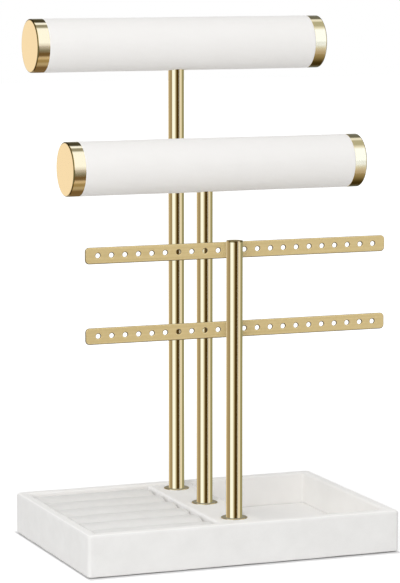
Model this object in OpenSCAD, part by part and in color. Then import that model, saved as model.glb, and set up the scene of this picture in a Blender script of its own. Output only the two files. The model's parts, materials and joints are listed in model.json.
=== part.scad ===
// Tabletop display stand: a velvet-covered tray base with three uprights in a row, front to back.
// Millimetres. X runs to the right, Y to the back and Z up. The origin is the centre of the base's
// footprint on the surface that the stand rests on.

/* [Base] */
// Width of the base, left to right
base_w = 240; // [200:1:300]
// Depth of the base, front to back
base_d = 166; // [158:1:220]
// Height of the rim above the table
base_h = 31; // [26:0.5:45]
// Thickness of the rim walls with their velvet
rim_t = 8; // [6:0.5:12]
// Radius of the four upright corners of the base
corner_r = 3; // [2.5:0.5:8]
// Radius of the rounded top edges of the rim and of the centre strip
edge_r = 2; // [1.2:0.1:2.4]
// Thickness of the velvet covering
velvet_t = 1; // [0.6:0.1:1.1]
// Thickness of the bottom board
board_t = 5; // [4.5:0.5:8]
// Thickness of the felt under the base
felt_t = 1.2; // [0.8:0.1:2]
// How far the felt stays in from the edges of the base
felt_inset = 4; // [2:0.5:12]
// Thickness of the covered card on the floor of the open compartment
floor_pad_t = 1; // [0.8:0.1:3]

/* [Centre strip] */
// Width of the raised centre strip with its velvet
beam_w = 34; // [28:1:50]
// How far the top of the centre strip lies below the rim
beam_drop = 1; // [0:0.1:4]

/* [Slotted cushion] */
// Number of padded rolls side by side in the left well
cushion_rolls = 6; // [4:1:8]
// How far the crests of the rolls lie below the rim
cushion_drop = 0.8; // [0:0.1:4]
// Radius of the rounded shoulders of each roll
shoulder_r = 8.5; // [4:0.5:9]
// Clearance that a padded or covered piece keeps from its neighbours
soft_clear = 0.3; // [0.2:0.1:0.6]

/* [Uprights] */
// Distance from one upright to the next
post_pitch = 58; // [50:1:66]
// Diameter of the tube of an upright
post_d = 11.8; // [10.8:0.1:14]
// Wall thickness of the tube
tube_t = 1; // [0.8:0.1:1.2]
// Diameter of the disc at the foot of an upright
flange_d = 19; // [17:0.5:26]
// Thickness of that disc
flange_t = 0.5; // [0.4:0.1:2]
// Length of the plugs in the ends of a tube
plug_l = 18; // [14:1:24]
// Thickness of the flat head that closes the front tube
post_cap_t = 0.8; // [0.5:0.1:2]

/* [Screws and fits] */
// Diameter of the screws and studs in the ends of the tubes
screw_d = 6; // [5:0.5:6.5]
// How far a screw or stud reaches into its plug
screw_grip = 12; // [8:1:13]
// Diameter of the flat screw heads under the base
head_d = 11; // [9:0.5:12]
// Thickness of those heads
head_t = 2.2; // [1.6:0.1:2.4]
// Diameter of the washers over the heads
washer_d = 13; // [12.5:0.5:16]
// Thickness of those washers
washer_t = 1; // [0.6:0.1:1.2]
// Width across the flats of the key socket in a head
key_w = 4; // [3:0.5:5]
// Radial clearance of a turning fit
turn_clear = 0.05; // [0.02:0.01:0.1]
// Radial clearance of a piece that is fixed in another
fixed_clear = 0.03; // [0.02:0.01:0.1]
// Radial clearance of a screw through a plain hole
hole_clear = 0.3; // [0.2:0.1:0.6]
// Gap between a foot disc and the velvet that it turns on
foot_gap = 0.1; // [0.05:0.05:0.3]

/* [Padded rolls] */
// Length of a roll over its end caps
roll_l = 229; // [180:1:260]
// Outer diameter of a roll
roll_d = 39.3; // [36:0.1:46]
// Height of the middle of the upper roll above the table
upper_roll_z = 366.5; // [330:0.5:420]
// Height of the middle of the lower roll above the table
lower_roll_z = 280.5; // [262:0.5:300]
// How far the upper roll sits to the right of its upright
upper_shift = 0; // [-10:0.5:10]
// How far the lower roll sits to the right of its upright
lower_shift = 7; // [-10:0.5:10]
// Thickness of the velvet and foam over the core
sleeve_t = 1.2; // [0.8:0.1:2]
// Wall thickness of the core
core_t = 2; // [1.5:0.1:3]
// Length of the round block inside the core
block_l = 40; // [24:1:60]
// How far below the middle of a roll its upright ends
post_seat = 10; // [8:0.5:12]
// Length of the band of an end cap
cap_band = 9.5; // [6:0.5:16]
// Thickness of the flat face of an end cap
cap_face_t = 1.2; // [0.8:0.1:2]
// Radius of the outer edge of an end cap
cap_edge_r = 1; // [0.4:0.1:1.1]

/* [Pierced bars] */
// Height of a bar
bar_h = 11.8; // [9:0.1:14]
// Thickness of a bar
bar_t = 1.5; // [1:0.1:2.5]
// Number of holes in a bar
bar_holes = 22; // [14:2:26]
// Distance from one hole to the next
bar_pitch = 10.1; // [8:0.1:10.6]
// Diameter of a hole
bar_hole_d = 3.4; // [3:0.1:4]
// Distance from the last hole to the end of a bar
bar_end = 9.5; // [5:0.1:12]
// Radius of the corners of a bar
bar_corner_r = 3; // [1:0.5:4.4]
// Height of the middle of the upper bar above the table
upper_bar_z = 223.7; // [200:0.1:240]
// Height of the middle of the lower bar above the table
lower_bar_z = 166.6; // [60:0.1:180]
// How far the front tube reaches above the top edge of the upper bar
post_over = 0.6; // [0:0.2:20]
// Diameter of the screw that holds a bar
bar_screw_d = 2.8; // [2:0.1:2.9]
// Diameter of the head of that screw
bar_head_d = 5.6; // [4.5:0.1:7]
// Thickness of the head of that screw
bar_head_t = 1.8; // [1:0.1:2.4]
// How far that screw reaches into the tube
bar_screw_grip = 7; // [4:0.5:8]

/* [Hidden] */

$fn = 64;
over = 1; // how far a cut runs past the face that it opens

// Places of the uprights along Y
rear_y = post_pitch;
middle_y = 0;
front_y = -post_pitch;
post_ys = [rear_y, middle_y, front_y];

// Base
board_z = felt_t;
floor_z = board_z + board_t;
wall_t = rim_t - 2 * velvet_t;
inner_w = base_w - 2 * rim_t;
inner_d = base_d - 2 * rim_t;
beam_top = base_h - beam_drop;
recess_d = washer_d + 2 * hole_clear;
recess_t = head_t + washer_t + 2 * fixed_clear;
screw_hole_d = screw_d + 2 * hole_clear;

// Cushion
cushion_top = base_h - cushion_drop;
cushion_pitch = inner_d / cushion_rolls;
cushion_x0 = -inner_w / 2 + soft_clear;
cushion_x1 = -beam_w / 2 - soft_clear;

// Uprights
flange_z = beam_top + foot_gap;
tube_z = flange_z + flange_t;
tube_bore_d = post_d - 2 * tube_t;
plug_d = tube_bore_d - 2 * fixed_clear;
head_z = board_z + recess_t - fixed_clear - washer_t - head_t;
washer_z = head_z + head_t;

// Rolls
core_d = roll_d - 2 * sleeve_t - 2 * fixed_clear;
core_bore_d = core_d - 2 * core_t;
sleeve_l = roll_l - 2 * cap_band - 2 * fixed_clear;
core_l = roll_l - 2 * cap_face_t - 2 * fixed_clear;
stud_reach = post_seat + screw_d / 2;

// Bars: the upright stands at a hole left of the middle, so the bar reaches half a pitch further right
bar_l = (bar_holes - 1) * bar_pitch + 2 * bar_end;
bar_first_x = -(bar_holes / 2 - 1) * bar_pitch;
bar_y = front_y + post_d / 2 + fixed_clear;
bar_tap_d = bar_screw_d + 2 * fixed_clear;
bar_plug_l = 2 * bar_tap_d;
front_post_h = upper_bar_z + bar_h / 2 + post_over;
spigot_l = 0.8 * (front_post_h - upper_bar_z - bar_plug_l / 2);

gold = [0.85, 0.72, 0.42];
satin_gold = [0.84, 0.76, 0.54];
velvet_white = [0.93, 0.925, 0.915];
board_brown = [0.72, 0.6, 0.45];
steel_grey = [0.7, 0.7, 0.72];

// ---------- shared shapes ----------

// Rectangle with four round corners, centred
module round_rect(w, d, r) {
    square([w - 2 * r, d], center = true);
    square([w, d - 2 * r], center = true);
    for (x = [-1, 1], y = [-1, 1])
        translate([x * (w / 2 - r), y * (d / 2 - r)])
            circle(r);
}

// Upright section, w wide, from the height z0 to z1, with two round top corners
module round_top(w, z0, z1, r) {
    translate([-w / 2, z0])
        square([w, z1 - z0 - r]);
    translate([-w / 2 + r, z0])
        square([w - 2 * r, z1 - z0]);
    for (x = [-1, 1])
        translate([x * (w / 2 - r), z1 - r])
            circle(r);
}

// A section drawn in X and Z, carried along Y from y0 to y1
module along_y(y0, y1) {
    translate([0, y1, 0])
        rotate([90, 0, 0])
            linear_extrude(y1 - y0)
                children();
}

// Block with round upright corners and round top edges
module round_block(w, d, z0, z1, corner, edge) {
    intersection() {
        translate([0, 0, z0])
            linear_extrude(z1 - z0)
                round_rect(w, d, corner);
        along_y(-d / 2 - over, d / 2 + over)
            round_top(w, z0, z1, edge);
        rotate([0, 0, 90])
            along_y(-w / 2 - over, w / 2 + over)
                round_top(d, z0, z1, edge);
    }
}

// Plain box between two corners
module box(low, high) {
    translate(low)
        cube(high - low);
}

// Round rod or hole from the height z0 to z1
module rod(d, z0, z1) {
    translate([0, 0, z0])
        cylinder(d = d, h = z1 - z0);
}

module tube(d_out, d_in, z0, z1) {
    difference() {
        rod(d_out, z0, z1);
        rod(d_in, z0 - over, z1 + over);
    }
}

// The same thing at the foot of each upright
module at_posts() {
    for (y = post_ys)
        translate([0, y, 0])
            children();
}

// ---------- base ----------

// Outline of the boards of the base, without their velvet
module wood_envelope() {
    round_block(base_w - 2 * velvet_t, base_d - 2 * velvet_t, board_z, base_h - velvet_t,
                corner_r - velvet_t, edge_r - velvet_t);
}

// Half sizes of the boards' outline and of the space inside the four walls
wood_x = base_w / 2 - velvet_t;
wood_y = base_d / 2 - velvet_t;
well_x = wood_x - wall_t;
well_y = wood_y - wall_t;

module felt_pad() {
    color(velvet_white)
        difference() {
            linear_extrude(felt_t)
                round_rect(base_w - 2 * felt_inset, base_d - 2 * felt_inset, corner_r);
            at_posts()
                rod(recess_d, -over, felt_t + over);
        }
}

module bottom_board() {
    color(board_brown)
        difference() {
            translate([0, 0, board_z])
                linear_extrude(board_t)
                    round_rect(2 * wood_x, 2 * wood_y, corner_r - velvet_t);
            at_posts() {
                rod(recess_d, board_z - over, board_z + recess_t);
                rod(screw_hole_d, board_z, floor_z + over);
            }
        }
}

// Front or back wall, the full width of the boards; side is -1 or 1
module long_wall(side) {
    color(board_brown)
        intersection() {
            wood_envelope();
            translate([0, side * (well_y + wall_t / 2), (floor_z + base_h) / 2])
                cube([base_w, wall_t, base_h - floor_z], center = true);
        }
}

// Left or right wall, between the long ones
module short_wall(side) {
    color(board_brown)
        intersection() {
            wood_envelope();
            translate([side * (well_x + wall_t / 2), 0, (floor_z + base_h) / 2])
                cube([wall_t, 2 * well_y, base_h - floor_z], center = true);
        }
}

module front_wall() { long_wall(-1); }
module back_wall() { long_wall(1); }
module left_wall() { short_wall(-1); }
module right_wall() { short_wall(1); }

module centre_beam() {
    color(board_brown)
        difference() {
            along_y(-inner_d / 2 + fixed_clear, inner_d / 2 - fixed_clear)
                round_top(beam_w - 2 * velvet_t, floor_z, beam_top - velvet_t, edge_r - velvet_t);
            at_posts()
                rod(screw_hole_d, floor_z - over, beam_top + over);
        }
}

// Velvet round the outside of the walls, over their tops and down their inner faces
module tray_velvet() {
    color(velvet_white)
        difference() {
            round_block(base_w, base_d, board_z, base_h, corner_r, edge_r);
            difference() {
                wood_envelope();
                box([-well_x, -well_y, floor_z], [well_x, well_y, base_h]);
            }
            box([-inner_w / 2, -inner_d / 2, 0], [inner_w / 2, inner_d / 2, base_h + over]);
        }
}

module beam_velvet() {
    color(velvet_white)
        difference() {
            along_y(-inner_d / 2 + fixed_clear, inner_d / 2 - fixed_clear)
                round_top(beam_w, floor_z, beam_top, edge_r);
            along_y(-inner_d / 2 - over, inner_d / 2 + over)
                round_top(beam_w - 2 * velvet_t, floor_z - over, beam_top - velvet_t, edge_r - velvet_t);
            at_posts()
                rod(screw_hole_d, floor_z, beam_top + over);
        }
}

module floor_pad() {
    color(velvet_white)
        box([beam_w / 2 + soft_clear, -inner_d / 2 + soft_clear, floor_z],
            [inner_w / 2 - soft_clear, inner_d / 2 - soft_clear, floor_z + floor_pad_t]);
}

// Padded roll number i, counted from the front
module cushion_roll(i) {
    y = -inner_d / 2 + (i - 0.5) * cushion_pitch;
    color(velvet_white)
        translate([cushion_x0, y, 0])
            rotate([0, 0, -90])
                along_y(0, cushion_x1 - cushion_x0)
                    round_top(cushion_pitch - soft_clear, floor_z + soft_clear, cushion_top, shoulder_r);
}

// ---------- screws under the base ----------

module post_washers() {
    color(steel_grey)
        at_posts()
            tube(washer_d, screw_d + 2 * fixed_clear, washer_z, washer_z + washer_t);
}

module post_screws() {
    color(steel_grey)
        at_posts()
            difference() {
                union() {
                    rod(head_d, head_z, head_z + head_t);
                    rod(screw_d, head_z + head_t, tube_z + screw_grip);
                }
                translate([0, 0, head_z - over])
                    cylinder(d = key_w / cos(30), h = over + head_t * 0.7, $fn = 6);
            }
}

// ---------- parts that the uprights share ----------

module upright_tube(y, top) {
    color(gold)
        translate([0, y, 0])
            tube(post_d, tube_bore_d, tube_z, top);
}

// Thin disc under a tube, its upper edge eased
module flange(y) {
    ease = flange_t / 3;
    color(gold)
        translate([0, y, flange_z])
            rotate_extrude()
                polygon([[screw_d / 2 + turn_clear, 0],
                         [flange_d / 2, 0],
                         [flange_d / 2, flange_t - ease],
                         [flange_d / 2 - ease, flange_t],
                         [screw_d / 2 + turn_clear, flange_t]]);
}

// Plug in the foot of a tube: the screw is the pin that the upright turns on
module foot_plug(y) {
    color(steel_grey)
        translate([0, y, 0])
            tube(plug_d, screw_d + 2 * turn_clear, tube_z, tube_z + plug_l);
}

// ---------- padded rolls ----------

// Lays a shape that stands along Z down along X, centred on the middle of a roll
module lay_roll(y, z, shift) {
    translate([shift, y, z])
        rotate([0, 90, 0])
            children();
}

// The hole that the upright takes through the underside of a roll
module post_entry(y, z, d) {
    translate([0, y, 0])
        rod(d, z - roll_d / 2 - over, z - post_seat);
}

module top_plug(y, z) {
    top = z - post_seat;
    color(steel_grey)
        translate([0, y, 0])
            tube(plug_d, screw_d + 2 * fixed_clear, top - plug_l, top);
}

module roll_stud(y, z) {
    color(steel_grey)
        translate([0, y, 0])
            rod(screw_d, z - post_seat - screw_grip, z - post_seat + stud_reach);
}

module roll_block(y, z) {
    color(board_brown)
        difference() {
            lay_roll(y, z, 0)
                rod(core_bore_d - 2 * fixed_clear, -block_l / 2, block_l / 2);
            post_entry(y, z, post_d + 2 * fixed_clear);
            translate([0, y, 0])
                rod(screw_d + 2 * fixed_clear, z - post_seat - over, z - post_seat + stud_reach + over);
        }
}

module roll_core(y, z, shift) {
    color(board_brown)
        difference() {
            lay_roll(y, z, shift)
                tube(core_d, core_bore_d, -core_l / 2, core_l / 2);
            post_entry(y, z, post_d + 2 * fixed_clear);
        }
}

module roll_sleeve(y, z, shift) {
    color(velvet_white)
        difference() {
            lay_roll(y, z, shift)
                tube(roll_d - 2 * fixed_clear, roll_d - 2 * sleeve_t, -sleeve_l / 2, sleeve_l / 2);
            post_entry(y, z, post_d + 2 * fixed_clear);
        }
}

// Cup over one end of the core; side is -1 for the left end and 1 for the right
module end_cap(y, z, shift, side) {
    inner_r = core_d / 2 + fixed_clear;
    band_z = roll_l / 2 - cap_band;
    color(gold)
        translate([shift, y, z])
            rotate([0, 90 * side, 0])
                rotate_extrude() {
                    translate([inner_r, band_z])
                        square([roll_d / 2 - inner_r, cap_band - cap_edge_r]);
                    translate([0, roll_l / 2 - cap_face_t])
                        square([roll_d / 2 - cap_edge_r, cap_face_t]);
                    translate([roll_d / 2 - cap_edge_r, roll_l / 2 - cap_edge_r])
                        intersection() {
                            circle(cap_edge_r);
                            square(cap_edge_r);
                        }
                }
}

// ---------- rear upright and upper roll ----------

module rear_post() { upright_tube(rear_y, upper_roll_z - post_seat); }
module rear_flange() { flange(rear_y); }
module rear_foot_plug() { foot_plug(rear_y); }
module rear_top_plug() { top_plug(rear_y, upper_roll_z); }
module upper_stud() { roll_stud(rear_y, upper_roll_z); }
module upper_block() { roll_block(rear_y, upper_roll_z); }
module upper_core() { roll_core(rear_y, upper_roll_z, upper_shift); }
module upper_sleeve() { roll_sleeve(rear_y, upper_roll_z, upper_shift); }
module upper_left_cap() { end_cap(rear_y, upper_roll_z, upper_shift, -1); }
module upper_right_cap() { end_cap(rear_y, upper_roll_z, upper_shift, 1); }

// ---------- middle upright and lower roll ----------

module middle_post() { upright_tube(middle_y, lower_roll_z - post_seat); }
module middle_flange() { flange(middle_y); }
module middle_foot_plug() { foot_plug(middle_y); }
module middle_top_plug() { top_plug(middle_y, lower_roll_z); }
module lower_stud() { roll_stud(middle_y, lower_roll_z); }
module lower_block() { roll_block(middle_y, lower_roll_z); }
module lower_core() { roll_core(middle_y, lower_roll_z, lower_shift); }
module lower_sleeve() { roll_sleeve(middle_y, lower_roll_z, lower_shift); }
module lower_left_cap() { end_cap(middle_y, lower_roll_z, lower_shift, -1); }
module lower_right_cap() { end_cap(middle_y, lower_roll_z, lower_shift, 1); }

// ---------- front upright and pierced bars ----------

// A hole or screw that runs along Y at the height z, from y0 to y1
module cross_rod(d, z, y0, y1) {
    translate([0, y1, z])
        rotate([90, 0, 0])
            cylinder(d = d, h = y1 - y0);
}

module front_post() {
    difference() {
        upright_tube(front_y, front_post_h);
        for (z = [upper_bar_z, lower_bar_z])
            cross_rod(bar_tap_d, z, front_y, bar_y + over);
    }
}

module front_flange() { flange(front_y); }
module front_foot_plug() { foot_plug(front_y); }

// Flat head on the rim of the tube, with a short spigot inside it
module front_post_cap() {
    color(gold)
        translate([0, front_y, 0]) {
            rod(post_d, front_post_h, front_post_h + post_cap_t);
            rod(plug_d, front_post_h - spigot_l, front_post_h);
        }
}

// Short plugs inside the tube that the bars' screws bite into
module bar_plugs() {
    color(steel_grey)
        for (z = [upper_bar_z, lower_bar_z])
            difference() {
                translate([0, front_y, 0])
                    rod(plug_d, z - bar_plug_l / 2, z + bar_plug_l / 2);
                cross_rod(bar_tap_d, z, front_y - post_d, front_y + post_d);
            }
}

module pierced_bar(z) {
    color(satin_gold)
        translate([0, bar_y + bar_t, z])
            rotate([90, 0, 0])
                linear_extrude(bar_t)
                    difference() {
                        translate([bar_first_x - bar_end + bar_l / 2, 0])
                            round_rect(bar_l, bar_h, bar_corner_r);
                        for (i = [0:bar_holes - 1])
                            translate([bar_first_x + i * bar_pitch, 0])
                                circle(d = bar_hole_d);
                    }
}

module upper_bar() { pierced_bar(upper_bar_z); }
module lower_bar() { pierced_bar(lower_bar_z); }

module bar_screws() {
    back_y = bar_y + bar_t;
    color(gold)
        for (z = [upper_bar_z, lower_bar_z]) {
            cross_rod(bar_screw_d, z, front_y + post_d / 2 - bar_screw_grip, back_y);
            cross_rod(bar_head_d, z, back_y, back_y + bar_head_t);
        }
}

// ---------- nodes ----------

felt_pad();
bottom_board();
front_wall();
back_wall();
left_wall();
right_wall();
centre_beam();
tray_velvet();
beam_velvet();
floor_pad();
for (i = [1:cushion_rolls])
    cushion_roll(i);
post_washers();
post_screws();
rear_post();
rear_flange();
rear_foot_plug();
rear_top_plug();
upper_stud();
upper_block();
upper_core();
upper_sleeve();
upper_left_cap();
upper_right_cap();
middle_post();
middle_flange();
middle_foot_plug();
middle_top_plug();
lower_stud();
lower_block();
lower_core();
lower_sleeve();
lower_left_cap();
lower_right_cap();
front_post();
front_flange();
front_foot_plug();
front_post_cap();
bar_plugs();
upper_bar();
lower_bar();
bar_screws();
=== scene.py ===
import json
import math

import bmesh
import bpy
from mathutils import Matrix, Vector, noise


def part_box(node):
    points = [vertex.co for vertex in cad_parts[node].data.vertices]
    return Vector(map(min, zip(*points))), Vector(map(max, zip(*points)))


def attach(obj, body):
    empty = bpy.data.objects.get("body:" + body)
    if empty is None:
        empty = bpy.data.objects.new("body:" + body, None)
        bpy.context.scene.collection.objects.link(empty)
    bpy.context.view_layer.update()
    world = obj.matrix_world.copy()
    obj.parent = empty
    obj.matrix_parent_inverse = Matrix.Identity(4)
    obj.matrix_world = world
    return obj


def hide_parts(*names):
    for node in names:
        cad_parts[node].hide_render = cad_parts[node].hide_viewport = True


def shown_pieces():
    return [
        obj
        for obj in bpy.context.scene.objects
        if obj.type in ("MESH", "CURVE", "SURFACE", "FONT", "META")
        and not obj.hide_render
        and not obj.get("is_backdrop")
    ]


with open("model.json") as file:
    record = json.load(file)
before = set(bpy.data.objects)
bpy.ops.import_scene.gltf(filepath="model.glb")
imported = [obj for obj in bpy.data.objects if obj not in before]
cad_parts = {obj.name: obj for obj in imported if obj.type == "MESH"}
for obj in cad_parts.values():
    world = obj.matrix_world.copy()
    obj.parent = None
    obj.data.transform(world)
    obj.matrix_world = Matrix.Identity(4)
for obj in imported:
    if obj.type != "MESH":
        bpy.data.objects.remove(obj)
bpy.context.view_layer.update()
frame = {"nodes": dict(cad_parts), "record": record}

MM = 0.001
NODES = frame["nodes"]


def add_object(name, data):
    obj = bpy.data.objects.new(name, data)
    bpy.context.scene.collection.objects.link(obj)
    return obj


def turn_to(obj, rotation):
    obj.rotation_mode = "QUATERNION"
    obj.rotation_quaternion = rotation


# ---------- camera ----------

CAMERA_AZIMUTH = math.radians(21.4589)
CAMERA_ELEVATION = math.radians(7.3456)
CAMERA_AIM_Z = 170 * MM
CAMERA_RIGHT = -3.401 * MM
CAMERA_UP = 17.304 * MM
CAMERA_DISTANCE = 2061.2 * MM
CAMERA_CLIP = (0.1, 30)
SENSOR = 36.0
FOCAL_PIXELS = 2807.67
PHOTO_HEIGHT = 583


def make_camera():
    ahead = Vector((math.sin(CAMERA_AZIMUTH) * math.cos(CAMERA_ELEVATION),
                    math.cos(CAMERA_AZIMUTH) * math.cos(CAMERA_ELEVATION),
                    -math.sin(CAMERA_ELEVATION)))
    right = Vector((math.cos(CAMERA_AZIMUTH), -math.sin(CAMERA_AZIMUTH), 0))
    up = right.cross(ahead)
    data = bpy.data.cameras.new("camera")
    data.sensor_width = SENSOR
    data.lens = FOCAL_PIXELS * SENSOR / PHOTO_HEIGHT
    data.clip_start, data.clip_end = CAMERA_CLIP
    camera = add_object("camera", data)
    camera.location = (Vector((0, 0, CAMERA_AIM_Z)) + CAMERA_RIGHT * right + CAMERA_UP * up
                       - CAMERA_DISTANCE * ahead)
    turn_to(camera, Matrix((right, up, -ahead)).transposed().to_quaternion())
    bpy.context.scene.camera = camera


# ---------- shader nodes ----------

class Nodes:
    """Short calls that add nodes to a tree. A value is a number, a colour or another node's output."""

    def __init__(self, tree):
        self.tree = tree

    def put(self, socket, value):
        if isinstance(value, bpy.types.NodeSocket):
            self.tree.links.new(value, socket)
        else:
            socket.default_value = value

    def node(self, kind, settings=None, **inputs):
        n = self.tree.nodes.new(kind)
        for key, value in (settings or {}).items():
            setattr(n, key, value)
        for key, value in inputs.items():
            self.put(n.inputs[key.replace("_", " ")], value)
        return n

    def math(self, operation, a, b=0.0):
        n = self.node("ShaderNodeMath", {"operation": operation})
        self.put(n.inputs[0], a)
        self.put(n.inputs[1], b)
        return n.outputs[0]

    def weighted(self, a, a_share, b, b_share):
        return self.math("ADD", self.math("MULTIPLY", a, a_share), self.math("MULTIPLY", b, b_share))

    def vector(self, operation, a, b=(0, 0, 0)):
        n = self.node("ShaderNodeVectorMath", {"operation": operation})
        self.put(n.inputs[0], a)
        self.put(n.inputs[1], b)
        return n.outputs["Value" if operation == "LENGTH" else "Vector"]

    def axes(self, vector):
        return self.node("ShaderNodeSeparateXYZ", Vector=vector).outputs

    def spread(self, value, low, high, to_low=0, to_high=1):
        return self.node("ShaderNodeMapRange", Value=value, From_Min=low, From_Max=high,
                         To_Min=to_low, To_Max=to_high).outputs["Result"]

    def ramp(self, value, stops):
        n = self.node("ShaderNodeValToRGB", Fac=value)
        e = n.color_ramp.elements
        while len(e) < len(stops):
            e.new(0.5)
        for item, (position, colour) in zip(e, stops):
            item.position = position
            item.color = (*colour, 1)
        return n.outputs["Color"]

    def mix(self, factor, a, b, blend="MIX"):
        return self.node("ShaderNodeMix", {"data_type": "RGBA", "blend_type": blend},
                         Factor=factor, A=a, B=b).outputs["Result"]


class Shader(Nodes):
    """The tree of a Principled material."""

    def __init__(self, name):
        self.material = bpy.data.materials.new(name)
        self.material.use_nodes = True
        super().__init__(self.material.node_tree)
        self.bsdf = self.tree.nodes["Principled BSDF"]
        coordinates = self.node("ShaderNodeTexCoord").outputs
        self.place, self.facing = coordinates["Object"], coordinates["Normal"]

    def noise(self, scale, detail=2.0, roughness=0.5, stretch=None):
        vector = self.place
        if stretch:
            vector = self.node("ShaderNodeMapping", Vector=vector, Scale=stretch).outputs["Vector"]
        return self.node("ShaderNodeTexNoise", Vector=vector, Scale=scale, Detail=detail,
                         Roughness=roughness).outputs["Fac"]

    def bump(self, height, strength, distance, normal=None):
        n = self.node("ShaderNodeBump", Height=height, Strength=strength, Distance=distance)
        if normal:
            self.put(n.inputs["Normal"], normal)
        return n.outputs["Normal"]

    def set(self, **values):
        for key, value in values.items():
            self.put(self.bsdf.inputs[key.replace("_", " ")], value)
        return self.material


# ---------- materials ----------

# Where the darker and the lighter tone of a noise are whole, as noise values.
TONES = (0.3, 0.7)
PILE_SCALE, SMUDGE_SCALE, BLOOM_SCALE = 1500, 45, 160
# Noise stretched along an axis by a small number makes streaks along that axis.
GRINDING = (2600, 2600, 25)
BRUSH_LINES, BRUSH_STREAKS = (18, 900, 5200), (9, 120, 900)
WHITE = (1, 1, 1)


def tones(s, value, dark, light):
    return s.ramp(value, [(TONES[0], dark), (TONES[1], light)])


def velvet(name, dark, light, sheen, nap):
    """Short-pile velvet: soft nap marks and a fine pile."""
    s = Shader(name)
    patches = s.noise(nap, detail=3, roughness=0.55)
    pile = s.noise(PILE_SCALE, detail=3, roughness=0.6)
    soft = s.bump(patches, strength=0.25, distance=0.5 * MM)
    fine = s.bump(pile, strength=0.4, distance=0.12 * MM, normal=soft)
    return s.set(Base_Color=tones(s, s.weighted(patches, 0.75, pile, 0.25), dark, light), Roughness=0.92,
                 Specular_IOR_Level=0.2, Sheen_Weight=sheen, Sheen_Roughness=0.5, Normal=fine)


def polished(name, colour, roughness, edge=None):
    """Plated and polished metal with faint smudges. An edge colour darkens the turn between two faces, a
    painted dark reflection.
    """
    s = Shader(name)
    smudge = s.noise(SMUDGE_SCALE, detail=4, roughness=0.6)
    lines = s.noise(1, detail=2, roughness=0.5, stretch=GRINDING)
    wear = s.weighted(smudge, 0.4, lines, 0.2)
    s.set(Base_Color=(*colour, 1), Metallic=1.0,
          Roughness=s.math("MULTIPLY", s.math("ADD", wear, 0.7), roughness))
    if edge:
        # 1 on the flat faces across X, 0 on the round wall between them
        turn = s.math("ABSOLUTE", s.axes(s.facing)["X"])
        # Painted dark reflection: the turn between the flat face and the round wall is darkened.
        s.set(Base_Color=s.ramp(turn, [(0.2, colour), (0.35, edge), (0.88, edge), (0.96, colour)]))
    return s.material


def brushed(name, dark, light, roughness, edge):
    """Flat metal brushed along X under a satin lacquer, which scatters half of the light.

    Its edges, where the surface turns away from Y, carry painted shade, darkest where they face down.
    """
    s = Shader(name)
    lines = s.noise(1, detail=3, roughness=0.6, stretch=BRUSH_LINES)
    streaks = s.noise(1, detail=2, roughness=0.5, stretch=BRUSH_STREAKS)
    tint = tones(s, s.weighted(lines, 0.5, streaks, 0.5), dark, light)
    facing = s.axes(s.facing)
    # Painted shade on the edges, stronger where they face down.
    flat = s.math("ADD", s.math("ABSOLUTE", facing["Y"]), s.math("MULTIPLY", facing["Z"], 0.3))
    shade = s.ramp(flat, [(0.75, edge), (0.985, WHITE)])
    rough = s.math("ADD", s.math("MULTIPLY", streaks, 0.16), roughness - 0.08)
    return s.set(Base_Color=s.mix(1, tint, shade, "MULTIPLY"), Metallic=0.5, Roughness=rough,
                 Normal=s.bump(lines, strength=0.12, distance=0.03 * MM))


def fibre(name, dark, light, roughness, scale):
    """Pressed fibres: felt, card and raw board."""
    s = Shader(name)
    strands = s.noise(scale, detail=5, roughness=0.7)
    flecks = s.noise(scale * 5, detail=2, roughness=0.6)
    return s.set(Base_Color=tones(s, s.weighted(strands, 0.6, flecks, 0.4), dark, light),
                 Roughness=roughness, Specular_IOR_Level=0.25,
                 Normal=s.bump(flecks, strength=0.4, distance=0.15 * MM))


def zinc_plate(name, dark, light):
    s = Shader(name)
    bloom = s.noise(BLOOM_SCALE, detail=4, roughness=0.6)
    return s.set(Base_Color=tones(s, bloom, dark, light), Metallic=1.0,
                 Roughness=s.math("ADD", s.math("MULTIPLY", bloom, 0.2), 0.22),
                 Normal=s.bump(bloom, strength=0.05, distance=0.05 * MM))


VELVET = velvet("velvet", (0.815, 0.807, 0.792), (0.868, 0.861, 0.847), sheen=0.1, nap=70)
# A lighter copy of the velvet: painted light on the rim's top, inside the tray, on the strip and on the
# card.
PAINTED_LIGHT_VELVET = velvet("painted_light_velvet", (0.925, 0.914, 0.898), (0.955, 0.945, 0.930), sheen=0.1, nap=70)
# A darker copy of the velvet: painted shade over the ring cushion.
SHADED_PAD_VELVET = velvet("shaded_pad_velvet", (0.785, 0.777, 0.762), (0.838, 0.831, 0.816), sheen=0.1, nap=70)
ROLL_VELVET = velvet("roll_velvet", (0.872, 0.857, 0.838), (0.886, 0.872, 0.854), sheen=0.04, nap=60)
POLISHED_GOLD = polished("polished_gold", (0.90, 0.70, 0.37), roughness=0.045)
# Its edge colour is a painted dark reflection round each cap's face.
CAP_GOLD = polished("cap_gold", (0.90, 0.68, 0.36), roughness=0.07, edge=(0.2, 0.14, 0.04))
# Its edge colour is painted shade on the bar's broken edges.
SATIN_GOLD = brushed("satin_gold", (0.74, 0.545, 0.225), (0.86, 0.65, 0.30), roughness=0.42,
                     edge=(0.16, 0.16, 0.2))
FELT = fibre("felt", (0.60, 0.60, 0.59), (0.76, 0.76, 0.75), roughness=0.95, scale=420)
BOARD = fibre("board", (0.33, 0.22, 0.12), (0.47, 0.34, 0.2), roughness=0.85, scale=300)
CORE = fibre("core", (0.55, 0.53, 0.48), (0.68, 0.66, 0.6), roughness=0.8, scale=200)
ZINC = zinc_plate("zinc", (0.5, 0.52, 0.54), (0.66, 0.67, 0.68))

FINISHES = {
    "velvet": VELVET,
    "roll_velvet": ROLL_VELVET,
    "felt": FELT,
    "board": BOARD,
    "core": CORE,
    "polished_gold": POLISHED_GOLD,
    "satin_gold": SATIN_GOLD,
    "zinc": ZINC,
}


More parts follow.
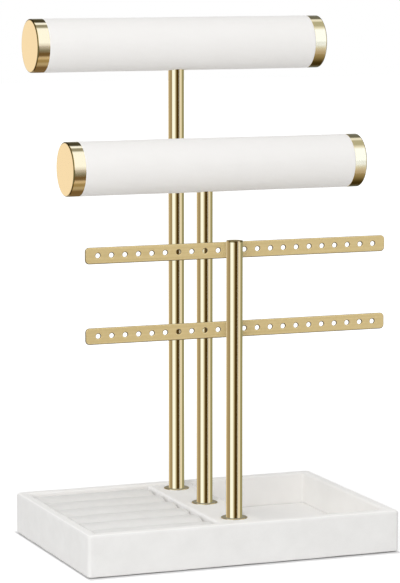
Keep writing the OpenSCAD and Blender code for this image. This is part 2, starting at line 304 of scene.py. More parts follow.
def dress_cad_nodes():
    for row in frame["record"]["subparts"]:
        obj = NODES[row["node"]]
        finish = CAP_GOLD if row["node"].endswith("_cap") else FINISHES[row["material_slot"]]
        obj.data.materials.clear()
        obj.data.materials.append(finish)


# ---------- mesh helpers ----------

def mesh_of(bm, name):
    mesh = bpy.data.meshes.new(name)
    bm.to_mesh(mesh)
    bm.free()
    return mesh


def smooth(obj):
    for p in obj.data.polygons:
        p.use_smooth = True


def make_object(name, verts, faces, material):
    mesh = bpy.data.meshes.new(name)
    mesh.from_pydata(verts, [], faces)
    mesh.materials.append(material)
    obj = add_object(name, mesh)
    bm = bmesh.new()
    bm.from_mesh(mesh)
    bmesh.ops.remove_doubles(bm, verts=bm.verts, dist=0.005 * MM)
    bmesh.ops.recalc_face_normals(bm, faces=bm.faces)
    bm.to_mesh(mesh)
    bm.free()
    smooth(obj)
    return obj


def grid_faces(rows, columns, wrap_rows, wrap_columns):
    """Quads over a grid of points that is stored row by row."""
    faces = []
    for i in range(rows if wrap_rows else rows - 1):
        for j in range(columns if wrap_columns else columns - 1):
            a, b = i * columns + j, i * columns + (j + 1) % columns
            c = ((i + 1) % rows) * columns
            faces.append((a, b, c + (j + 1) % columns, c + j))
    return faces


def roughen(obj, amount, size, seed):
    """Moves the surface in and out a little, as cloth over foam or glue does."""
    shift = Vector((seed * 1.7, seed * 3.1, seed * 5.3))
    vertices = obj.data.vertices
    normals = [v.normal.copy() for v in vertices]
    for v, n in zip(vertices, normals):
        v.co += n * (amount * noise.noise(v.co / size + shift))


def apply_modifiers(obj):
    dg = bpy.context.evaluated_depsgraph_get()
    mesh = bpy.data.meshes.new_from_object(obj.evaluated_get(dg))
    obj.modifiers.clear()
    old, obj.data = obj.data, mesh
    bpy.data.meshes.remove(old)


def modify(obj, kind, **settings):
    m = obj.modifiers.new(kind, kind)
    for key, value in settings.items():
        setattr(m, key, value)
    apply_modifiers(obj)


def carve(obj, bm, use_self=False):
    """Cuts the shape in bm out of the piece."""
    cutter = add_object("cutter", mesh_of(bm, "cutter"))
    modify(obj, "BOOLEAN", operation="DIFFERENCE", solver="EXACT", use_self=use_self, object=cutter)
    bpy.data.objects.remove(cutter)


def finish_piece(obj, body, node):
    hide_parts(node)
    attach(obj, body)


def arc(cx, cz, r, start, end, steps):
    return [(cx + r * math.cos(math.radians(start + (end - start) * i / steps)),
             cz + r * math.sin(math.radians(start + (end - start) * i / steps)))
            for i in range(steps + 1)]


def spaced(start, end, step):
    """Values from start up to but not at end, about step apart."""
    count = max(1, round(abs(end - start) / step))
    return [start + (end - start) * i / count for i in range(count)]


def ridge(distance, height, width):
    """A smooth ridge, or a groove, by the distance from its middle line."""
    return height * math.exp(-(distance / width) ** 2)


# ---------- velvet over the tray ----------

RIM = 8 * MM
OUTER_CORNER = 3 * MM
INNER_CORNER = 1 * MM
CORNER_STEPS = 10
RIM_EDGE = 2.1 * MM
EDGE_STEPS = 8
HEM = 3 * MM
HEM_DROP = 0.6 * MM
HEM_R = 1.2 * MM
COVER_T = 0.9 * MM
BACKING = 1 * MM
OUTSIDE_STEP, RIM_STEP, INSIDE_STEP = 3 * MM, 0.7 * MM, 2.5 * MM
# Shares of a straight side between two cuts.
SIDE_CUT_X, SIDE_CUT_Y = 0.014, 0.02
SEAM_X = 70 * MM
SEAM_CUTS = (-0.004, -0.002, 0.0001, 0.002, 0.004)
SEAM_GROOVE = (0.4 * MM, 0.4 * MM)
MITRE_GROOVE = (0.35 * MM, 0.35 * MM)
# The lighter velvet, which is painted light, starts this far under the rim's top, and this far before the
# inner faces.
PAINTED_LIGHT_DOWN, PAINTED_LIGHT_BEFORE = 0.7 * MM, 0.5 * MM


def rounded_loop(half_x, half_y, radius, cuts_x, cuts_y, arc_steps):
    """Points anticlockwise round a rectangle with round corners. cuts are shares of each straight side."""
    sx, sy = half_x - radius, half_y - radius
    loop = []
    for x0, y0, x1, y1, cx, cy, a, cuts in (
            (half_x, -sy, half_x, sy, sx, sy, 0, cuts_y),
            (sx, half_y, -sx, half_y, -sx, sy, 90, cuts_x),
            (-half_x, sy, -half_x, -sy, -sx, -sy, 180, cuts_y),
            (-sx, -half_y, sx, -half_y, sx, -sy, 270, cuts_x)):
        loop += [(x0 + (x1 - x0) * t, y0 + (y1 - y0) * t) for t in cuts]
        loop += arc(cx, cy, radius, a, a + 90, arc_steps)[:-1]
    return loop


def tray_section(low, top, floor):
    """The skin and then its glued back, as (way in from the outer face across the rim, height)."""
    skin = [(HEM, low), (HEM, low - 0.5 * MM), (HEM * 0.6, low - HEM_DROP)]
    skin += arc(HEM_R, low + HEM_R - HEM_DROP, HEM_R, 270, 180, 6)
    skin += [(0, z) for z in spaced(low + 3 * MM, top - RIM_EDGE, OUTSIDE_STEP)]
    skin += arc(RIM_EDGE, top - RIM_EDGE, RIM_EDGE, 180, 90, EDGE_STEPS)
    skin += [(u, top) for u in spaced(RIM_EDGE + RIM_STEP, RIM - RIM_EDGE, RIM_STEP)]
    skin += arc(RIM - RIM_EDGE, top - RIM_EDGE, RIM_EDGE, 90, 0, EDGE_STEPS)
    skin += [(RIM, z) for z in spaced(top - RIM_EDGE - INSIDE_STEP, floor, INSIDE_STEP)]
    skin += [(RIM, floor)]
    return skin + [(RIM - COVER_T, floor), (RIM - COVER_T, top - BACKING), (COVER_T, top - BACKING),
                   (COVER_T, low)]


def tray_cover():
    low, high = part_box("tray_velvet")
    half_x, half_y, top = high.x, high.y, high.z
    join = 0.5 - SEAM_X / (2 * (half_x - OUTER_CORNER))
    cuts_x = sorted(spaced(0, 1, SIDE_CUT_X) + [join + d for d in SEAM_CUTS])
    cuts_y = spaced(0, 1, SIDE_CUT_Y)
    outer = rounded_loop(half_x, half_y, OUTER_CORNER, cuts_x, cuts_y, CORNER_STEPS)
    inner = rounded_loop(half_x - RIM, half_y - RIM, INNER_CORNER, cuts_x, cuts_y, CORNER_STEPS)
    section = tray_section(low.z, top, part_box("floor_pad")[0].z)
    verts = []
    for (ox, oy), (ix, iy) in zip(outer, inner):
        for u, z in section:
            t = u / RIM
            verts.append(Vector((ox + (ix - ox) * t, oy + (iy - oy) * t, z)))
    obj = make_object("tray_cover", verts, grid_faces(len(outer), len(section), True, True), VELVET)
    for v in obj.data.vertices:
        v.co.z -= mitre_depth(v.co, half_x, half_y, top)
        v.co.y -= join_depth(v.co, half_y)
    # Painted light: the rim's top and the inner faces take the lighter velvet.
    obj.data.materials.append(PAINTED_LIGHT_VELVET)
    for face in obj.data.polygons:
        c = face.center
        inside = min(half_x - abs(c.x), half_y - abs(c.y)) > RIM - PAINTED_LIGHT_BEFORE
        if inside or c.z > top - PAINTED_LIGHT_DOWN:
            face.material_index = 1
    roughen(obj, amount=0.22 * MM, size=22 * MM, seed=1)
    roughen(obj, amount=0.10 * MM, size=5 * MM, seed=2)
    finish_piece(obj, "base", "tray_velvet")


def mitre_depth(p, half_x, half_y, top):
    """The diagonal fold on the rim at each corner."""
    in_x, in_y = half_x - abs(p.x), half_y - abs(p.y)
    if p.z < top - RIM_EDGE or max(in_x, in_y) > RIM + MM:
        return 0
    return ridge((in_x - in_y) / math.sqrt(2), *MITRE_GROOVE)


def join_depth(p, half_y):
    """The butt join of the velvet strip, on the back face."""
    return 0 if p.y < half_y - 0.5 * MM else ridge(p.x - SEAM_X, *SEAM_GROOVE)


# ---------- velvet over the centre strip ----------

STRIP_EDGE = 2 * MM
STRIP_SIDE_STEP, STRIP_STEP_X, STRIP_STEP_Y = 3 * MM, 0.8 * MM, 1.2 * MM
# The strip's top is this much lower at its two ends, over about the second length.
END_SINK, END_REACH = 0.5 * MM, 0.8 * MM
# Round a foot disc: the edge of the pressed part, its depth, and the pile that stands up outside.
PRESSED_REACH, PRESSED = 0.25 * MM, -0.35 * MM
RING_AT, RING = 1.2 * MM, (0.3 * MM, 1.4 * MM)


def strip_cover():
    low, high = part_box("beam_velvet")
    feet = [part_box(n) for n in ("rear_flange", "middle_flange", "front_flange")]
    centres = [((a.x + b.x) / 2, (a.y + b.y) / 2) for a, b in feet]
    foot_r = (feet[0][1].x - feet[0][0].x) / 2
    half, edge = high.x, STRIP_EDGE
    section = [(-half, z) for z in spaced(low.z, high.z - edge, STRIP_SIDE_STEP)]
    section += arc(-half + edge, high.z - edge, edge, 180, 90, EDGE_STEPS)
    section += [(x, high.z) for x in spaced(-half + edge + STRIP_STEP_X, half - edge, STRIP_STEP_X)]
    section += arc(half - edge, high.z - edge, edge, 90, 0, EDGE_STEPS)
    section += [(half, z) for z in spaced(high.z - edge - STRIP_SIDE_STEP, low.z, STRIP_SIDE_STEP)]
    section += [(half, low.z), (half - COVER_T, low.z), (half - COVER_T, high.z - BACKING),
                (-half + COVER_T, high.z - BACKING), (-half + COVER_T, low.z)]
    stations = spaced(low.y, high.y, STRIP_STEP_Y) + [high.y]
    verts = []
    for y in stations:
        sink = END_SINK * math.exp(-min(y - low.y, high.y - y) / END_REACH)
        for x, z in section:
            if z > high.z - 0.5 * MM:
                z += foot_ring(x, y, centres, foot_r) - sink
            verts.append(Vector((x, y, z)))
    rows, columns = len(stations), len(section)
    faces = grid_faces(rows, columns, False, True)
    faces += [tuple(range(columns)), tuple(range((rows - 1) * columns, rows * columns))]
    # The lighter velvet paints light on the strip.
    obj = make_object("strip_cover", verts, faces, PAINTED_LIGHT_VELVET)
    roughen(obj, amount=0.10 * MM, size=9 * MM, seed=3)
    finish_piece(obj, "base", "beam_velvet")


def foot_ring(x, y, centres, foot_r):
    """The pile is pressed down under a foot disc and stands up round it."""
    r = min(math.hypot(x - cx, y - cy) for cx, cy in centres)
    if r < foot_r + PRESSED_REACH:
        return PRESSED
    return ridge(r - foot_r - RING_AT, *RING)


# ---------- covered card in the compartment ----------

CARD_REACH = 0.6 * MM
CARD_EDGE = 0.1 * MM
CARD_STEP = 1.5 * MM
# The card's velvet is lower along its edge, over about the second length, and a little uneven.
CARD_DROP, CARD_DROP_REACH = 0.15 * MM, 0.8 * MM
CARD_WAVE, CARD_WAVE_SIZE = 0.12 * MM, 26 * MM


def card_cuts(low, high):
    return [low] + spaced(low + CARD_EDGE, high - CARD_EDGE, CARD_STEP) + [high - CARD_EDGE, high]


def floor_cover():
    low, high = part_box("floor_pad")
    reach = Vector((CARD_REACH, CARD_REACH, 0))
    low, high = low - reach, high + reach
    xs, ys = card_cuts(low.x, high.x), card_cuts(low.y, high.y)
    upper = []
    for x in xs:
        for y in ys:
            rim = min(x - low.x, high.x - x, y - low.y, high.y - y)
            drop = CARD_DROP * math.exp(-rim / CARD_DROP_REACH)
            wave = CARD_WAVE * noise.noise(Vector((x, y, 0)) / CARD_WAVE_SIZE)
            upper.append(Vector((x, y, high.z - drop + wave)))
    count, nx, ny = len(upper), len(xs) - 1, len(ys) - 1
    top = grid_faces(nx + 1, ny + 1, False, False)
    faces = top + [tuple(reversed([v + count for v in f])) for f in top]
    edge_loop = ([j for j in range(ny + 1)] + [i * (ny + 1) + ny for i in range(1, nx + 1)]
                 + [nx * (ny + 1) + j for j in range(ny - 1, -1, -1)]
                 + [i * (ny + 1) for i in range(nx - 1, 0, -1)])
    for a, b in zip(edge_loop, edge_loop[1:] + edge_loop[:1]):
        faces.append((a, b, b + count, a + count))
    verts = upper + [Vector((v.x, v.y, low.z)) for v in upper]
    # The lighter velvet paints light on the card.
    obj = make_object("floor_cover", verts, faces, PAINTED_LIGHT_VELVET)
    finish_piece(obj, "base", "floor_pad")


# ---------- ring cushion ----------

PAD_START = 0.9 * MM
PAD_CROWN, PAD_END = 7.5 * MM, 2.5 * MM
PAD_CAP = 2.2 * MM
PAD_VOXEL = 3.2 * MM
PAD_PILE = 0.3 * MM
PAD_FRAMES = 20
PAD_CLOTH = {"quality": 6, "mass": 0.2, "tension_stiffness": 12, "compression_stiffness": 12,
             "shear_stiffness": 12, "bending_stiffness": 0.6, "use_pressure": True,
             "uniform_pressure_force": 4.0}


def bevel(bm, edges, size, segments):
    bmesh.ops.bevel(bm, geom=edges, offset=size, segments=segments, profile=0.5, affect="EDGES")


def pad_blank(name, low, high):
    """A rounded block a little smaller than its place, which the pressure then fills."""
    lo = low + Vector((PAD_START, PAD_START, 0))
    hi = high - Vector((PAD_START, PAD_START, PAD_START))
    bm = bmesh.new()
    bmesh.ops.create_cube(bm, size=1)
    for v in bm.verts:
        v.co = Vector((lo[i] + (hi[i] - lo[i]) * (v.co[i] + 0.5) for i in range(3)))
    crown = [e for e in bm.edges if all(v.co.z > hi.z - MM for v in e.verts)]
    long_edges = [e for e in crown if abs(e.verts[0].co.x - e.verts[1].co.x) > MM]
    bevel(bm, long_edges, PAD_CROWN, 6)
    ends = [e for e in bm.edges
            if any(all(abs(v.co.x - x) < 0.01 * MM for v in e.verts) for x in (lo.x, hi.x))]
    bevel(bm, ends, PAD_END, 3)
    return add_object(name, mesh_of(bm, name))


def swell(obj):
    """Cloth under pressure: the cover swells, and no point moves further than the cap."""
    scene = bpy.context.scene
    rest = [v.co.copy() for v in obj.data.vertices]
    m = obj.modifiers.new("Cloth", "CLOTH")
    for key, value in PAD_CLOTH.items():
        setattr(m.settings, key, value)
    m.settings.effector_weights.gravity = 0
    m.collision_settings.use_self_collision = False
    m.point_cache.frame_start, m.point_cache.frame_end = 1, PAD_FRAMES
    for f in range(1, PAD_FRAMES + 1):
        scene.frame_set(f)
    dg = bpy.context.evaluated_depsgraph_get()
    swollen = [v.co.copy() for v in obj.evaluated_get(dg).data.vertices]
    obj.modifiers.clear()
    for v, a, b in zip(obj.data.vertices, rest, swollen):
        step = b - a
        if step.length > PAD_CAP:
            step *= PAD_CAP / step.length
        v.co = a + step
    scene.frame_set(1)


def clamp_to(obj, low, high):
    for v in obj.data.vertices:
        for i in range(3):
            v.co[i] = min(max(v.co[i], low[i]), high[i])


def cushion_rolls():
    names = sorted(n for n in NODES if n.startswith("cushion_roll_"))
    for k, node in enumerate(names):
        low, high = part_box(node)
        obj = pad_blank(node.replace("cushion", "padded"), low, high)
        modify(obj, "REMESH", mode="VOXEL", voxel_size=PAD_VOXEL, use_smooth_shade=True)
        swell(obj)
        clamp_to(obj, low, high)
        modify(obj, "SUBSURF", levels=2, render_levels=2)
        roughen(obj, amount=0.35 * MM, size=16 * MM, seed=20 + k)
        roughen(obj, amount=0.12 * MM, size=4 * MM, seed=40 + k)
        clamp_to(obj, low, high + Vector((0, 0, PAD_PILE)))
        smooth(obj)
        # The darker velvet paints shade on the cushion.
        obj.data.materials.append(SHADED_PAD_VELVET)
        finish_piece(obj, "base", node)


# ---------- velvet over the two rolls ----------

PILE = 0.1 * MM
SLEEVE_T = 1.1 * MM
ROLL_TUCK = 1.6 * MM
ROLL_STEP = 1.5 * MM
ROLL_SIDES = 144
# Each tucked end, from the end inwards: (distance from the end, depth under the pile).
TUCK = [(0, 0.16 * MM), (0.15 * MM, 0.05 * MM), (0.6 * MM, 0.01 * MM)]
ROLL_SEAM = math.radians(-55)
ROLL_SEAM_CUTS = (-0.02, -0.008, 0.0005, 0.008, 0.02)
ROLL_SEAM_GROOVE = (0.3 * MM, 0.012)
# The foam's waves and the nap's, as (height, size). Both are three times as long along the roll.
FOAM_WAVE, NAP_WAVE = (0.14 * MM, 14 * MM), (0.05 * MM, 3 * MM)
POST_GAP = 0.12 * MM
# The hole for the post starts three of these under the roll and ends one of them under its middle.
POST_CUT = MM


def roll_cover(name, node, post, body, seed):
    """A closed sleeve: outer velvet, ends tucked under the caps, a butt seam below and behind."""
    low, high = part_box(node)
    plow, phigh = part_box(post)
    cy, cz = (low.y + high.y) / 2, (low.z + high.z) / 2
    outer, inner = (high.y - low.y) / 2 + PILE, (high.y - low.y) / 2 - SLEEVE_T
    section = [(low.x, inner)] + [(low.x + d, outer - depth) for d, depth in TUCK]
    section += [(x, outer) for x in spaced(low.x + ROLL_TUCK, high.x - ROLL_TUCK, ROLL_STEP)]
    section += [(high.x - ROLL_TUCK, outer)] + [(high.x - d, outer - depth) for d, depth in reversed(TUCK)]
    section += [(high.x, inner)]
    angles = [2 * math.pi * k / ROLL_SIDES for k in range(ROLL_SIDES)]
    angles += [ROLL_SEAM + d for d in ROLL_SEAM_CUTS]
    angles = sorted(a % (2 * math.pi) for a in angles)
    verts = []
    for a in angles:
        off = (a - ROLL_SEAM + math.pi) % (2 * math.pi) - math.pi
        groove = ridge(off, *ROLL_SEAM_GROOVE)
        for x, r in section:
            if r > inner + 0.1 * MM:
                p = Vector((x / 3, r * math.cos(a), r * math.sin(a)))
                r += FOAM_WAVE[0] * noise.noise(p / FOAM_WAVE[1] + Vector((seed, 0, 0)))
                r += NAP_WAVE[0] * noise.noise(p / NAP_WAVE[1] + Vector((0, seed, 0))) - groove
            verts.append(Vector((x, cy + r * math.cos(a), cz + r * math.sin(a))))
    obj = make_object(name, verts, grid_faces(len(angles), len(section), True, True), ROLL_VELVET)
    cut_post_hole(obj, (plow.x + phigh.x) / 2, cy, (phigh.x - plow.x) / 2 + POST_GAP, low.z, cz)
    finish_piece(obj, body, node)


def cut_post_hole(obj, x, y, radius, bottom, middle):
    bm = bmesh.new()
    bmesh.ops.create_cone(bm, cap_ends=True, segments=64, radius1=radius, radius2=radius,
                          depth=middle - bottom + 2 * POST_CUT)
    bmesh.ops.translate(bm, verts=bm.verts, vec=(x, y, (middle + bottom) / 2 - 2 * POST_CUT))
    carve(obj, bm)
    smooth(obj)


# ---------- pierced bars and their screws ----------

BAR_BREAK = 0.6 * MM
BAR_CORNER = 3 * MM
BAR_PITCH = 10.1 * MM
BAR_END = 9.5 * MM
BAR_HOLE = 3.4 * MM
BAR_HOLES = 22
HOLE_SIDES = 32
SHANK_R = 1.4 * MM
SHANK_POINT = 0.6 * MM
# The screw's axis is left open by this much, so that its two ends have clean round rims.
AXIS_R = 0.02 * MM
HEAD_SIDES = 48
HEAD_RIM, HEAD_WALL = 0.1 * MM, 0.5 * MM
CROSS_L, CROSS_W, CROSS_DEPTH = 3 * MM, 0.8 * MM, 0.9 * MM
CROSS_TAPER = 0.6


def bar_plate(name, node):
    """The bar of the frame with its edges and holes broken, as a tumbled stamping has them."""
    low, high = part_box(node)
    cx, cy, cz = (low + high) / 2
    length, thick, height = high - low
    curve = bpy.data.curves.new(name, "CURVE")
    curve.dimensions = "2D"
    curve.fill_mode = "BOTH"
    curve.extrude = thick / 2 - BAR_BREAK
    curve.bevel_depth = BAR_BREAK
    curve.bevel_resolution = 2
    curve.offset = -BAR_BREAK
    outline = rounded_loop(length / 2, height / 2, BAR_CORNER, spaced(0, 1, 0.02), [0, 0.5], 8)
    first = low.x + BAR_END - cx
    holes = [arc(first + BAR_PITCH * i, 0, BAR_HOLE / 2, 360, 0, HOLE_SIDES)[:-1]
             for i in range(BAR_HOLES)]
    for loop in [outline] + holes:
        spline = curve.splines.new("POLY")
        spline.points.add(len(loop) - 1)
        for point, (x, z) in zip(spline.points, loop):
            point.co = (x, z, 0, 1)
        spline.use_cyclic_u = True
    flat = add_object(name, curve)
    dg = bpy.context.evaluated_depsgraph_get()
    mesh = bpy.data.meshes.new_from_object(flat.evaluated_get(dg))
    bpy.data.objects.remove(flat)
    mesh.transform(Matrix.Translation((cx, cy, cz)) @ Matrix.Rotation(math.radians(90), 4, "X"))
    mesh.materials.clear()
    mesh.materials.append(SATIN_GOLD)
    finish_piece(add_object(name, mesh), "front_upright", node)


def bar_screw(name, bar):
    """A pan head with a cross recess behind the bar, on its shank."""
    low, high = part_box("bar_screws")
    blow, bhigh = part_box(bar)
    head_r, x = (high.x - low.x) / 2, (high.x + low.x) / 2
    z, seat, back = (blow.z + bhigh.z) / 2, bhigh.y, high.y
    shoulder = seat + HEAD_WALL
    section = [(seat, head_r - HEAD_RIM), (seat + HEAD_RIM, head_r), (shoulder, head_r)]
    for a in (math.radians(t) for t in range(10, 91, 10)):
        section.append((shoulder + (back - shoulder) * math.sin(a), head_r * (0.5 + 0.5 * math.cos(a))))
    section += [(back, AXIS_R), (low.y, AXIS_R), (low.y, SHANK_R * 0.7), (low.y + SHANK_POINT, SHANK_R),
                (seat, SHANK_R)]
    turns = [2 * math.pi * k / HEAD_SIDES for k in range(HEAD_SIDES)]
    verts = [Vector((x + r * math.cos(a), y, z + r * math.sin(a))) for a in turns for y, r in section]
    obj = make_object(name, verts, grid_faces(HEAD_SIDES, len(section), True, True), POLISHED_GOLD)
    cut_cross(obj, Vector((x, back, z)))
    finish_piece(obj, "front_upright", "bar_screws")


def cut_cross(obj, centre):
    bm = bmesh.new()
    # One arm is a little shallower, so that the two share no face.
    for size in ((CROSS_L, 2 * CROSS_DEPTH, CROSS_W), (CROSS_W, 2 * CROSS_DEPTH * 0.99, CROSS_L)):
        made = bmesh.ops.create_cube(bm, size=1)
        for v in made["verts"]:
            taper = CROSS_TAPER if v.co.y < 0 else 1
            v.co = centre + Vector((v.co.x * size[0] * taper, v.co.y * size[1], v.co.z * size[2] * taper))
    carve(obj, bm, use_self=True)


# ---------- felt under the base ----------

FELT_STEP = 6 * MM
FELT_WAVE, FELT_WAVE_SIZE = 0.08 * MM, 5 * MM


def felt_sheet():
    bm = bmesh.new()
    bm.from_mesh(NODES["felt_pad"].data)
    low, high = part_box("felt_pad")
    for axis in range(2):
        normal = Vector((0, 0, 0))
        normal[axis] = 1
        for t in spaced(low[axis] + FELT_STEP, high[axis], FELT_STEP):
            geom = bm.verts[:] + bm.edges[:] + bm.faces[:]
            bmesh.ops.bisect_plane(bm, geom=geom, plane_co=normal * t, plane_no=normal)
    bmesh.ops.remove_doubles(bm, verts=bm.verts, dist=0.01 * MM)
    for v in bm.verts:
        v.co.z += FELT_WAVE * noise.noise(v.co / FELT_WAVE_SIZE) if v.co.z < MM else 0
        v.co.z = max(v.co.z, 0)
    mesh = mesh_of(bm, "felt_sheet")
    mesh.materials.clear()
    mesh.materials.append(FELT)
    finish_piece(add_object("felt_sheet", mesh), "base", "felt_pad")


# ---------- floor ----------

FLOOR_HALF = 6.0
FLOOR_COLOUR = (0.85, 0.85, 0.85, 1)
# The floor lies this far under the felt, so that the two faces don't share one plane.
FLOOR_DROP = 0.05 * MM
# For camera rays the floor also glows, to be as white as the photograph's background. Between these
# two distances from the middle the glow's strength rises from the first level to the second.
GLOW_REACH, GLOW = (0.25, 0.7), (0.35, 0.6)
# Painted contact shadow: the glow is cut round the base. It starts at the first distance before and behind
# the base and is whole at the second. Beside the base these distances are divided by the third number.
GLOW_START, GLOW_WHOLE, GLOW_BESIDE = 2.5 * MM, 6 * MM, 8


def floor_material():
    material = bpy.data.materials.new("floor")
    material.use_nodes = True
    t = Nodes(material.node_tree)
    t.tree.nodes.clear()
    place = t.node("ShaderNodeTexCoord").outputs["Object"]
    strength = t.spread(t.vector("LENGTH", place), *GLOW_REACH, *GLOW)
    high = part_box("tray_velvet")[1]
    beside = t.vector("SUBTRACT", t.vector("ABSOLUTE", place), (high.x, high.y, 0))
    beside = t.vector("MULTIPLY", t.vector("MAXIMUM", beside, (0, 0, 0)), (GLOW_BESIDE, 1, 1))
    # Painted contact shadow: no glow close round the base.
    past_painted_shadow = t.spread(t.vector("LENGTH", beside), GLOW_START, GLOW_WHOLE)
    glow = t.node("ShaderNodeEmission", Strength=t.math("MULTIPLY", strength, past_painted_shadow))
    bounce = t.node("ShaderNodeBsdfDiffuse", Color=FLOOR_COLOUR)
    shown = t.node("ShaderNodeAddShader")
    t.put(shown.inputs[0], bounce.outputs[0])
    t.put(shown.inputs[1], glow.outputs[0])
    by_ray = t.node("ShaderNodeMixShader")
    t.put(by_ray.inputs[0], t.node("ShaderNodeLightPath").outputs["Is Camera Ray"])
    t.put(by_ray.inputs[1], bounce.outputs[0])
    t.put(by_ray.inputs[2], shown.outputs[0])
    t.node("ShaderNodeOutputMaterial", Surface=by_ray.outputs[0])
    return material


def make_floor():
    corners = ((-1, -1), (1, -1), (1, 1), (-1, 1))
    verts = [Vector((x * FLOOR_HALF, y * FLOOR_HALF, -FLOOR_DROP)) for x, y in corners]
    obj = make_object("floor", verts, [(0, 1, 2, 3)], floor_material())
    obj.visible_glossy = False
    obj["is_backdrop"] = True


# ---------- world ----------

# The metal mirrors soft bands of a studio, which stand still in the room. Their colours:
IVORY, CREAM, OLIVE = (1.12, 1.38, 2.0), (0.9, 0.98, 1.16), (0.35, 0.38, 0.3)
WALL, TAN, TAWNY = (1.03, 0.99, 0.91), (0.48, 0.45, 0.38), (0.36, 0.33, 0.27)
DUSK, BROWN = (0.6, 0.65, 0.65), (0.07, 0.045, 0.008)
MOSS, SLATE, UMBER = (0.07, 0.075, 0.06), (0.33, 0.38, 0.42), (0.19, 0.14, 0.08)
FADE, AMBER, STRAW = (0.69, 0.77, 1.02), (0.37, 0.32, 0.2), (0.66, 0.6, 0.52)
ASH, GRIT, SAND = (0.29, 0.32, 0.34), (0.17, 0.2, 0.21), (0.507, 0.591, 0.62)
CHALK, MILK, PEARL = (0.80, 0.93, 1.12), (0.92, 1.1, 1.45), (1.12, 1.48, 2.4)
OAT, HAZEL, BARK = (0.66, 0.70, 0.78), (0.49, 0.47, 0.44), (0.36, 0.335, 0.26)
KHAKI, LOAM, PEAT = (0.28, 0.255, 0.165), (0.18, 0.155, 0.09), (0.1, 0.082, 0.035)
SOOT, CLOVE = (0.05, 0.038, 0.012), (0.235, 0.208, 0.125)
# The upright bands, which the tubes mirror, as (share of the full turn, colour). The turn starts
# behind the stand, goes round its left, and is half way at the photograph's side.
BEARINGS = [(0.0, TAN), (0.086, TAN), (0.093, WALL), (0.130, WALL), (0.140, TAN), (0.200, TAN),
            (0.300, TAWNY), (0.322, TAWNY), (0.345, IVORY), (0.435, IVORY), (0.478, DUSK),
            (0.504, TAWNY), (0.528, BROWN), (0.622, BROWN), (0.664, CREAM), (0.735, CREAM),
            (0.765, OLIVE), (1.0, OLIVE)]
# The bands along the rolls, by the angle round the left-right axis: 0 is behind, then over the
# top, half is in front. The first four stops are for the foot discs.
FOOT_STOPS = [(0.0, ASH), (0.010, ASH), (0.014, CLOVE), (0.030, CLOVE), (0.036, ASH), (0.055, ASH)]
ROUND = FOOT_STOPS + [
    (0.085, MOSS), (0.160, MOSS), (0.184, IVORY), (0.205, IVORY), (0.218, SLATE), (0.255, SLATE),
    (0.280, IVORY), (0.455, IVORY), (0.509, FADE), (0.545, SLATE), (0.585, UMBER), (0.612, UMBER),
    (0.634, STRAW), (0.648, STRAW), (0.675, AMBER), (0.700, AMBER), (0.718, TAN), (0.740, TAN),
    (0.785, UMBER), (0.96, UMBER), (1.0, MOSS)]
# The same on the right of MIDDLE_X, where it is brighter in front and darker below.
ROUND_RIGHT = FOOT_STOPS + [
    (0.090, GRIT), (0.160, GRIT), (0.182, MILK), (0.208, MILK), (0.228, SAND), (0.290, SAND),
    (0.325, MILK), (0.350, PEARL), (0.535, PEARL), (0.575, CHALK), (0.600, OAT), (0.630, HAZEL),
    (0.665, BARK), (0.700, KHAKI), (0.735, LOAM), (0.765, PEAT), (0.800, SOOT), (0.860, SOOT),
    (0.92, GRIT), (1.0, ASH)]
# The upright bands stand between these heights of a way of length 1, and the others above and below.
HORIZON_LOW, HORIZON_HIGH = -0.75, 0.02
# The end caps of the rolls mirror ways whose x lies between these two distances from MIDDLE_X. There
# the bands along the rolls hold at every height.
MIDDLE_X, GAP_START, GAP_END = 0.3652, 0.031, 0.060
# Well outside, where only other views look, the bands along the rolls are warmer.
WARMER = (1.0, 0.88, 0.68, 1)
DIFFUSE_LIGHT = (0.65, 0.65, 0.65, 1)


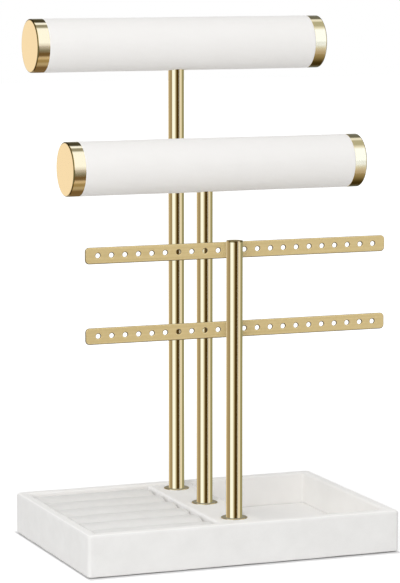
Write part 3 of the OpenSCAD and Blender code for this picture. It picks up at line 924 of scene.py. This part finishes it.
def make_world():
    world = bpy.data.worlds.new("studio")
    bpy.context.scene.world = world
    world.use_nodes = True
    t = Nodes(world.node_tree)
    t.tree.nodes.clear()
    direction = t.node("ShaderNodeTexCoord").outputs["Generated"]
    turned = t.node("ShaderNodeVectorRotate", {"rotation_type": "Z_AXIS"}, Vector=direction,
                    Angle=CAMERA_AZIMUTH).outputs[0]
    flat, way = t.axes(turned), t.axes(direction)
    bearing = t.math("ARCTAN2", flat["X"], t.math("MULTIPLY", flat["Y"], -1.0))
    bearing = t.math("ADD", t.math("DIVIDE", bearing, 2 * math.pi), 0.5)
    rolling = t.math("ARCTAN2", way["Z"], way["Y"])
    rolling = t.math("FRACT", t.math("ADD", t.math("DIVIDE", rolling, 2 * math.pi), 1.0))
    off_middle = t.math("ABSOLUTE", t.math("SUBTRACT", way["X"], MIDDLE_X))
    in_gap = t.math("MULTIPLY", t.math("GREATER_THAN", off_middle, GAP_START),
                    t.math("LESS_THAN", off_middle, GAP_END))
    upright = t.math("MULTIPLY", t.math("GREATER_THAN", way["Z"], HORIZON_LOW),
                     t.math("LESS_THAN", way["Z"], HORIZON_HIGH))
    upright = t.math("MULTIPLY", upright, t.math("SUBTRACT", 1.0, in_gap))
    around = t.mix(t.math("GREATER_THAN", way["X"], MIDDLE_X), t.ramp(rolling, ROUND),
                   t.ramp(rolling, ROUND_RIGHT))
    around = t.mix(t.math("GREATER_THAN", off_middle, 2 * GAP_END), around, WARMER, "MULTIPLY")
    studio = t.mix(upright, around, t.ramp(bearing, BEARINGS))
    path = t.node("ShaderNodeLightPath").outputs
    plain = t.mix(path["Is Camera Ray"], DIFFUSE_LIGHT, (*WHITE, 1))
    background = t.node("ShaderNodeBackground", Color=t.mix(path["Is Glossy Ray"], plain, studio))
    t.node("ShaderNodeOutputWorld", Surface=background.outputs[0])


# ---------- lamps ----------

LAMP_AIM = Vector((0, 0, 0.18))
LAMP_DISTANCE = 3.0
LAMP_SIZE = 1.5


def lamp(name, bearing, elevation, watts):
    """A square area lamp aimed at the stand. The bearing is from the camera's side, to the right."""
    a = math.radians(bearing) - CAMERA_AZIMUTH
    e = math.radians(elevation)
    way = Vector((math.sin(a) * math.cos(e), -math.cos(a) * math.cos(e), math.sin(e)))
    data = bpy.data.lights.new(name, "AREA")
    data.shape = "SQUARE"
    data.size = LAMP_SIZE
    data.energy = watts
    obj = add_object(name, data)
    obj.location = LAMP_AIM + way * LAMP_DISTANCE
    turn_to(obj, way.to_track_quat("Z", "Y"))
    obj.visible_glossy = False


def dim_reflections():
    """The photograph's metal mirrors the studio alone, so the pieces don't mirror each other."""
    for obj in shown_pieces():
        obj.visible_glossy = False


# ---------- the scene ----------

make_camera()
dress_cad_nodes()
tray_cover()
strip_cover()
floor_cover()
cushion_rolls()
roll_cover("upper_roll_cover", "upper_sleeve", "rear_post", "rear_upright", 3)
roll_cover("lower_roll_cover", "lower_sleeve", "middle_post", "middle_upright", 8)
for side in ("upper", "lower"):
    bar_plate(side + "_bar_plate", side + "_bar")
for side in ("upper", "lower"):
    bar_screw(side + "_bar_screw", side + "_bar")
felt_sheet()
make_floor()
make_world()
lamp("key", bearing=-19, elevation=22, watts=34.5)
lamp("top", bearing=20, elevation=85, watts=10)
dim_reflections()

bpy.context.scene.view_settings.view_transform = "Standard"
